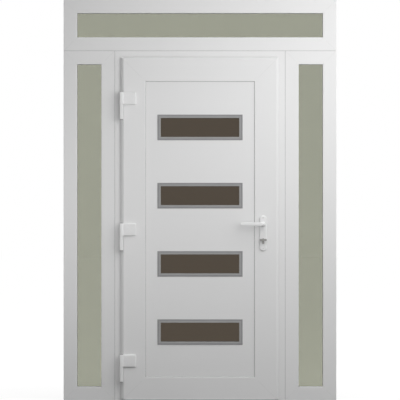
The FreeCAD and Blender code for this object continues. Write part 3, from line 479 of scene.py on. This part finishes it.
white_coat = pored_finish("white_coat", COAT_WHITE, drift=0.006, patch=0.2, pores=1100.0,
                          roughness=(0.34, 0.46), relief=0.000012)
cap_plastic = pored_finish("cap_plastic", (0.40, 0.40, 0.40, 1.0), drift=0.05, patch=0.02, pores=900.0,
                           roughness=(0.50, 0.65), relief=0.000010)
dress(white_coat, "hinge_knuckles", "hinge_flags")
barrel_half, cap_half = (BARREL_HALF, BARREL_HALF), (CAP_HALF, CAP_HALF)
flag_half = ((FLAG_HIGH - FLAG_LOW) / 2, FLAG_TALL / 2)
flags, upper_caps, lower_caps = [], [], []
for split in HINGE_SPLITS:
    flags.append(rounded_block((*HINGE_AXIS, split + HINGE_GAP), barrel_half, BARREL_CORNER, BARREL_RIM,
                               RIGHT, OUTSIDE, UPWARD, PIN_BORE))
    flag_centre = ((FLAG_LOW + FLAG_HIGH) / 2, LEAF_FACE, split + HINGE_GAP + FLAG_TALL / 2)
    flags.append(rounded_block(flag_centre, flag_half, FLAG_CORNER, FLAG_RIM, RIGHT, UPWARD, -OUTSIDE))
    upper_caps.append(rounded_block((*HINGE_AXIS, split + FLAG_RISE), cap_half, CAP_CORNER, CAP_RIM,
                                    RIGHT, OUTSIDE, UPWARD))
    lower_caps.append(rounded_block((*HINGE_AXIS, split - KNUCKLE_DROP), cap_half, CAP_CORNER, CAP_RIM,
                                    RIGHT, OUTSIDE, -UPWARD))
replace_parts(make_piece("hinge_flags_cast", flags, white_coat, "leaf"), "hinge_flags")
make_piece("hinge_caps_upper", upper_caps, cap_plastic, "leaf")
make_piece("hinge_caps_lower", lower_caps, cap_plastic, "frame")


# Handle plates: die-cast long plates with a sloped rim and a softly crowned face, powder coated white and
# bored for the lever's neck. Two zinc plated screws, put in from the inside, draw them together through the
# leaf.
PLATE_HALF = (22 * MM, 103.5 * MM)
PLATE_CORNER = 20 * MM
PLATE_CENTRE = (370 * MM, 979.5 * MM)
PLATE_RIM = np.array([(0.0, 0.0), (0.0, 4.2), (0.4, 5.1), (2.8, 7.3), (3.9, 7.75), (8.0, 8.0)]) * MM
NECK_BORE = (0.0, 53.5 * MM, 9.4 * MM)
LEAF_BACK = 21 * MM
PLATE_SCREWS = (890 * MM, 1071 * MM)
PLATE_SCREW_SEAT, PLATE_SCREW_SCALE = -62.9 * MM, 1.15
SCREW_HEAD = np.array([(3.6, -0.4), (3.6, 0.05), (3.3, 0.25), (1.9, 0.3), (1.7, 0.1), (1.5, -0.5),
                       (0.3, -0.6)]) * MM
dress(white_coat, "handle_plate_inside", "handle_plate_outside")
for name, face, out in (("handle_plate_inside", LEAF_FACE, -OUTSIDE),
                        ("handle_plate_outside", LEAF_BACK, OUTSIDE)):
    plate = rounded_block((PLATE_CENTRE[0], face, PLATE_CENTRE[1]), PLATE_HALF, PLATE_CORNER, PLATE_RIM,
                          RIGHT, UPWARD, out, NECK_BORE)
    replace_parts(make_piece(f"{name}_crowned", [plate], white_coat, "leaf"), name)
zinc_plate = lined_finish("zinc_plate", (0.58, 0.58, 0.58, 1.0), drift=0.05, patch=0.04,
                          lines=(900.0, 900.0, 4.0), roughness=(0.30, 0.46), relief=0.000006, Metallic=1.0)
plate_screws = [turned((PLATE_CENTRE[0], PLATE_SCREW_SEAT, height), -OUTSIDE, SCREW_HEAD * PLATE_SCREW_SCALE)
                for height in PLATE_SCREWS]
make_piece("handle_screws", plate_screws, zinc_plate, "leaf")


# Levers: cast grips with rounded edges on a round rose, powder coated as the plates are. The neck under the
# rose turns in the plate's bore, and both levers are pinned to one square spindle through the lock.
SPINDLE = (370 * MM, 1033 * MM)
LEVERS = (("lever_inside", -63 * MM, -1.0), ("lever_outside", 29 * MM, 1.0))
GRIP_HALF = (6.5 * MM, 11 * MM)
NECK_RADIUS, BEND_RADIUS, LEVER_REACH, STAND_OFF = 9.5 * MM, 18 * MM, 135 * MM, 50 * MM
GRIP_START, TIP_ROUND = 2 * MM, 3 * MM
GRIP_SQUARENESS = 1.6
ROSE_PROFILE = np.array([(14.0, 0.4), (14.0, 5.6), (13.6, 6.8), (12.7, 7.6), (11.4, 8.0)]) * MM
NECK_PROFILE = np.array([(9.0, -7.8), (9.0, 2.0)]) * MM


def lever_grip(face, side):
    """A rounded section carried along the neck, a quarter turn of the bend radius and the grip. The section
    is |u/depth|^n + |v/height|^n = 1, and its half sizes and n go from a circle at the neck to the flat grip
    at the end of the bend. At the tip the half sizes draw in by a quarter circle."""
    neck = np.linspace(GRIP_START, STAND_OFF - BEND_RADIUS, 4)[:-1]
    turn = np.linspace(0.0, np.pi / 2, 13)
    grip = np.linspace(BEND_RADIUS, LEVER_REACH - TIP_ROUND, 12)[1:]
    tip = np.linspace(0.0, np.pi / 2, 7)[1:]
    straight = np.ones(len(grip) + len(tip))
    away = np.concatenate([neck, STAND_OFF - BEND_RADIUS + BEND_RADIUS * np.sin(turn), STAND_OFF * straight])
    along = np.concatenate([0 * neck, BEND_RADIUS * (1 - np.cos(turn)), grip,
                            LEVER_REACH - TIP_ROUND + TIP_ROUND * np.sin(tip)])
    heading = np.concatenate([0 * neck, turn, np.pi / 2 * straight])
    drawn_in = np.concatenate([0 * neck, 0 * turn, 0 * grip, TIP_ROUND * (1 - np.cos(tip))])
    flat = np.clip(heading / (np.pi / 2), 0.0, 1.0)
    flat = flat * flat * (3 - 2 * flat)
    depth = (NECK_RADIUS + (GRIP_HALF[0] - NECK_RADIUS) * flat - drawn_in)[:, None]
    height = (NECK_RADIUS + (GRIP_HALF[1] - NECK_RADIUS) * flat - drawn_in)[:, None]
    power = (2 / (2.0 + GRIP_SQUARENESS * flat))[:, None]
    angle = np.linspace(0.0, 2 * np.pi, 48, endpoint=False)
    u = depth * np.sign(np.cos(angle)) * np.abs(np.cos(angle)) ** power
    v = height * np.sign(np.sin(angle)) * np.abs(np.sin(angle)) ** power
    x = SPINDLE[0] - along[:, None] + u * np.cos(heading)[:, None]
    y = face + side * (away[:, None] + u * np.sin(heading)[:, None])
    return skin(np.stack([x, y, SPINDLE[1] + v], -1))


dress(white_coat, "lever_inside", "lever_outside")
for name, face, side in LEVERS:
    lever_parts = [lever_grip(face, side)]
    lever_parts += [turned((SPINDLE[0], face, SPINDLE[1]), side * OUTSIDE, profile)
                    for profile in (ROSE_PROFILE, NECK_PROFILE)]
    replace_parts(make_piece(f"{name}_cast", lever_parts, white_coat, "lever"), name)


# Lock parts: faceplate, strike plates and spindle, stamped or drawn from steel and zinc plated. Faceplate
# and strike plates lie flush in the stile and the jamb, held by countersunk screws with a round socket.
FACEPLATE_SCREWS = (0.170, 0.520, 0.840, 1.140, 1.480, 1.830)
STRIKE_SCREWS = (0.252, 0.362, 0.886, 1.088, 1.612, 1.722)
FACEPLATE_FRONT, STRIKE_FRONT, LOCK_LINE = 438 * MM, 444 * MM, -9.5 * MM
dress(zinc_plate, "lock_faceplate", "strike_plate", "spindle")
faceplate_heads = [turned((FACEPLATE_FRONT, LOCK_LINE, height), RIGHT, SCREW_HEAD)
                   for height in FACEPLATE_SCREWS]
make_piece("faceplate_screws", faceplate_heads, zinc_plate, "leaf")
strike_heads = [turned((STRIKE_FRONT, LOCK_LINE, height), -RIGHT, SCREW_HEAD) for height in STRIKE_SCREWS]
make_piece("strike_screws", strike_heads, zinc_plate, "frame")


# Key cylinder: a nickel plated brass housing that passes through the leaf, held by one long screw from the
# faceplate. Its outside end has a turning plug. The key's slot is not cut into it: a near-black sheet in the
# slot's outline stands just proud of the plug, painted shade for the dark slot.
PLUG_PROFILE = np.array([(6.6, -0.3), (6.6, 0.1), (6.3, 0.3), (5.6, 0.35), (1.0, 0.36)]) * MM
KEY_SLOT = np.array([(-0.9, -4.0), (0.9, -4.0), (0.9, -1.4), (0.35, -0.6), (0.9, 0.4), (0.9, 4.2),
                     (-0.9, 4.2), (-0.9, 0.6), (-0.3, -0.4), (-0.9, -1.2)]) * MM
CYLINDER = (370 * MM, 941 * MM)
CYLINDER_BACK, SLOT_PROUD = 32 * MM, 0.45 * MM
satin_nickel = lined_finish("satin_nickel", (0.285, 0.28, 0.27, 1.0), drift=0.04, patch=0.01,
                            lines=(700.0, 700.0, 700.0), roughness=(0.28, 0.40), relief=0.000004,
                            Metallic=1.0)
slot_shade = pored_finish("slot_shade", (0.012, 0.012, 0.012, 1.0), drift=0.2, patch=0.002, pores=2000.0,
                          roughness=(0.5, 0.7), relief=0.000005)
dress(satin_nickel, "key_cylinder")
plug = turned((CYLINDER[0], CYLINDER_BACK, CYLINDER[1]), OUTSIDE, PLUG_PROFILE)
make_piece("cylinder_plug", [plug], satin_nickel, "leaf")
# The key slot: a near-black sheet, painted shade where the slot's hollow would be.
slot_x, slot_z = KEY_SLOT[:, 0] + CYLINDER[0], KEY_SLOT[:, 1] + CYLINDER[1]
slot_rings = np.stack([np.stack([slot_x, np.full_like(slot_x, y), slot_z], -1)
                       for y in (CYLINDER_BACK, CYLINDER_BACK + SLOT_PROUD)])
make_piece("key_slot_shade_sheet", [skin(slot_rings)], slot_shade, "leaf")


# Thumb turn: a cast bar on a round neck, pinned to the cylinder's inside end and turned by hand to throw the
# bolts. It is nickel plated as the cylinder is, with edges rounded by polishing.
TURN_HALF = (21 * MM, 6 * MM)
TURN_BACK, NECK_BACK = -74.3 * MM, -66.3 * MM
TURN_RIM = np.array([(1.2, 0.0), (0.3, 0.5), (0.0, 1.6), (0.0, 11.0), (0.35, 12.4), (1.2, 13.4), (2.6, 13.9),
                     (4.6, 14.0)]) * MM
TURN_NECK = np.array([(7.0, 0.0), (7.0, 1.0), (6.2, 2.2), (6.0, 4.0), (6.4, 6.6), (7.0, 8.2)]) * MM
dress(satin_nickel, "thumb_turn")
turn_bar = rounded_block((CYLINDER[0], TURN_BACK, CYLINDER[1]), TURN_HALF, TURN_HALF[1], TURN_RIM,
                         RIGHT, UPWARD, -OUTSIDE)
turn_neck = turned((CYLINDER[0], NECK_BACK, CYLINDER[1]), -OUTSIDE, TURN_NECK)
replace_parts(make_piece("thumb_turn_cast", [turn_bar, turn_neck], satin_nickel, "thumb_turn"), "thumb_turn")


# Stage: a plain pale floor under a white surround, soft lamps in front and behind, and a camera straight in
# front. Two far lamps, one high and one to the right, reach the bevels more than the faces. Each lamp has a
# name, a place, a radius in metres and a power in watts.
FLOOR_HALF, FLOOR_LEVEL = 40.0, -0.5 * MM
FLOOR_GLOW, GLOW_REACH = (0.88, 0.98), (1.0, 6.0)
CAMERA_DISTANCE, CAMERA_HEIGHT = 16.0, 1.1746
VIEW_WIDTH, SENSOR_WIDTH = 2.3468, 36.0
FRONT_FACE = 0.035
SURROUND_LEVEL = 0.155
LAMPS = (
    ("key_lamp", (1.9, -2.2, 2.15), 2.10, 104.0),
    ("right_lamp", (1.4, -1.5, 2.2), 1.45, 85.0),
    ("front_lamp", (0.2, -2.0, 1.95), 1.90, 76.0),
    ("high_lamp", (0.5, -0.8, 8.0), 1.00, 235.0),
    ("side_lamp", (6.0, -0.8, 1.4), 1.00, 90.0),
    ("left_lamp", (-0.85, -0.75, 1.25), 0.45, 2.2),
    ("low_lamp", (-1.15, -1.2, 0.80), 0.55, 9.6),
    ("back_key_lamp", (-1.5, 2.4, 2.1), 0.90, 125.0),
    ("back_low_lamp", (1.4, 2.2, 1.2), 0.90, 65.0),
    ("top_lamp", (0.0, 0.9, 4.2), 0.60, 60.0),
)


def shows_surround(tree):
    """1 for camera, glossy and transmission rays, which see the white surround, and 0 for the light that it
    gives."""
    path = add_node(tree, "ShaderNodeLightPath").outputs
    mirror = add_node(tree, "ShaderNodeMath", {0: path["Is Glossy Ray"], 1: path["Is Transmission Ray"]},
                      operation="MAXIMUM")
    return add_node(tree, "ShaderNodeMath", {0: path["Is Camera Ray"], 1: mirror.outputs[0]},
                    operation="MAXIMUM").outputs[0]


def add_lamp(name, place, radius, power):
    """A round soft lamp that isn't seen itself."""
    lamp = bpy.data.lights.new(name, "POINT")
    lamp.shadow_soft_size = radius
    lamp.energy = power
    holder = bpy.data.objects.new(name, lamp)
    holder.location = place
    holder.visible_camera = False
    holder.visible_glossy = False
    holder.visible_transmission = False
    bpy.context.scene.collection.objects.link(holder)


for lamp_values in LAMPS:
    add_lamp(*lamp_values)

world = bpy.data.worlds.new("white_surround")
bpy.context.scene.world = world
world.use_nodes = True
level = add_node(world.node_tree, "ShaderNodeMapRange", {"Value": shows_surround(world.node_tree),
                                                         "To Min": SURROUND_LEVEL, "To Max": 1.0})
surround = world.node_tree.nodes["Background"]
surround.inputs["Color"].default_value = (1.0, 1.0, 1.0, 1.0)
world.node_tree.links.new(level.outputs["Result"], surround.inputs["Strength"])

floor_corners = [(x * FLOOR_HALF, y * FLOOR_HALF, FLOOR_LEVEL)
                 for x, y in ((-1, -1), (1, -1), (1, 1), (-1, 1))]
floor_mesh = bpy.data.meshes.new("studio_floor")
floor_mesh.from_pydata(floor_corners, [], [(0, 1, 2, 3)])
floor = bpy.data.objects.new("studio_floor", floor_mesh)
bpy.context.scene.collection.objects.link(floor)
floor_paint = pored_finish("floor_paint", (0.13, 0.13, 0.13, 1.0), drift=0.01, patch=0.8, pores=40.0,
                           roughness=(0.80, 0.95), relief=0.00001, Emission_Color=(1.0, 1.0, 1.0, 1.0),
                           Specular_IOR_Level=0.0)
floor_tree = floor_paint.node_tree
floor_place = add_node(floor_tree, "ShaderNodeTexCoord").outputs["Object"]
outwards = add_node(floor_tree, "ShaderNodeVectorMath", {0: floor_place}, operation="LENGTH")
lift = add_node(floor_tree, "ShaderNodeMapRange",
                {"Value": outwards.outputs["Value"], "From Min": GLOW_REACH[0], "From Max": GLOW_REACH[1],
                 "To Min": FLOOR_GLOW[0], "To Max": FLOOR_GLOW[1]})
glow = add_node(floor_tree, "ShaderNodeMath", {0: lift.outputs["Result"], 1: shows_surround(floor_tree)},
                operation="MULTIPLY")
floor_tree.links.new(glow.outputs[0], floor_tree.nodes["Principled BSDF"].inputs["Emission Strength"])
floor_mesh.materials.append(floor_paint)

camera = bpy.data.cameras.new("front_view")
camera.sensor_width = SENSOR_WIDTH
camera.lens = SENSOR_WIDTH * (CAMERA_DISTANCE - FRONT_FACE) / VIEW_WIDTH
viewer = bpy.data.objects.new("front_view", camera)
viewer.location = (0.0, -CAMERA_DISTANCE, CAMERA_HEIGHT)
viewer.rotation_euler = (math.pi / 2, 0.0, 0.0)
bpy.context.scene.collection.objects.link(viewer)
bpy.context.scene.camera = viewer
bpy.context.scene.view_settings.view_transform = "Standard"
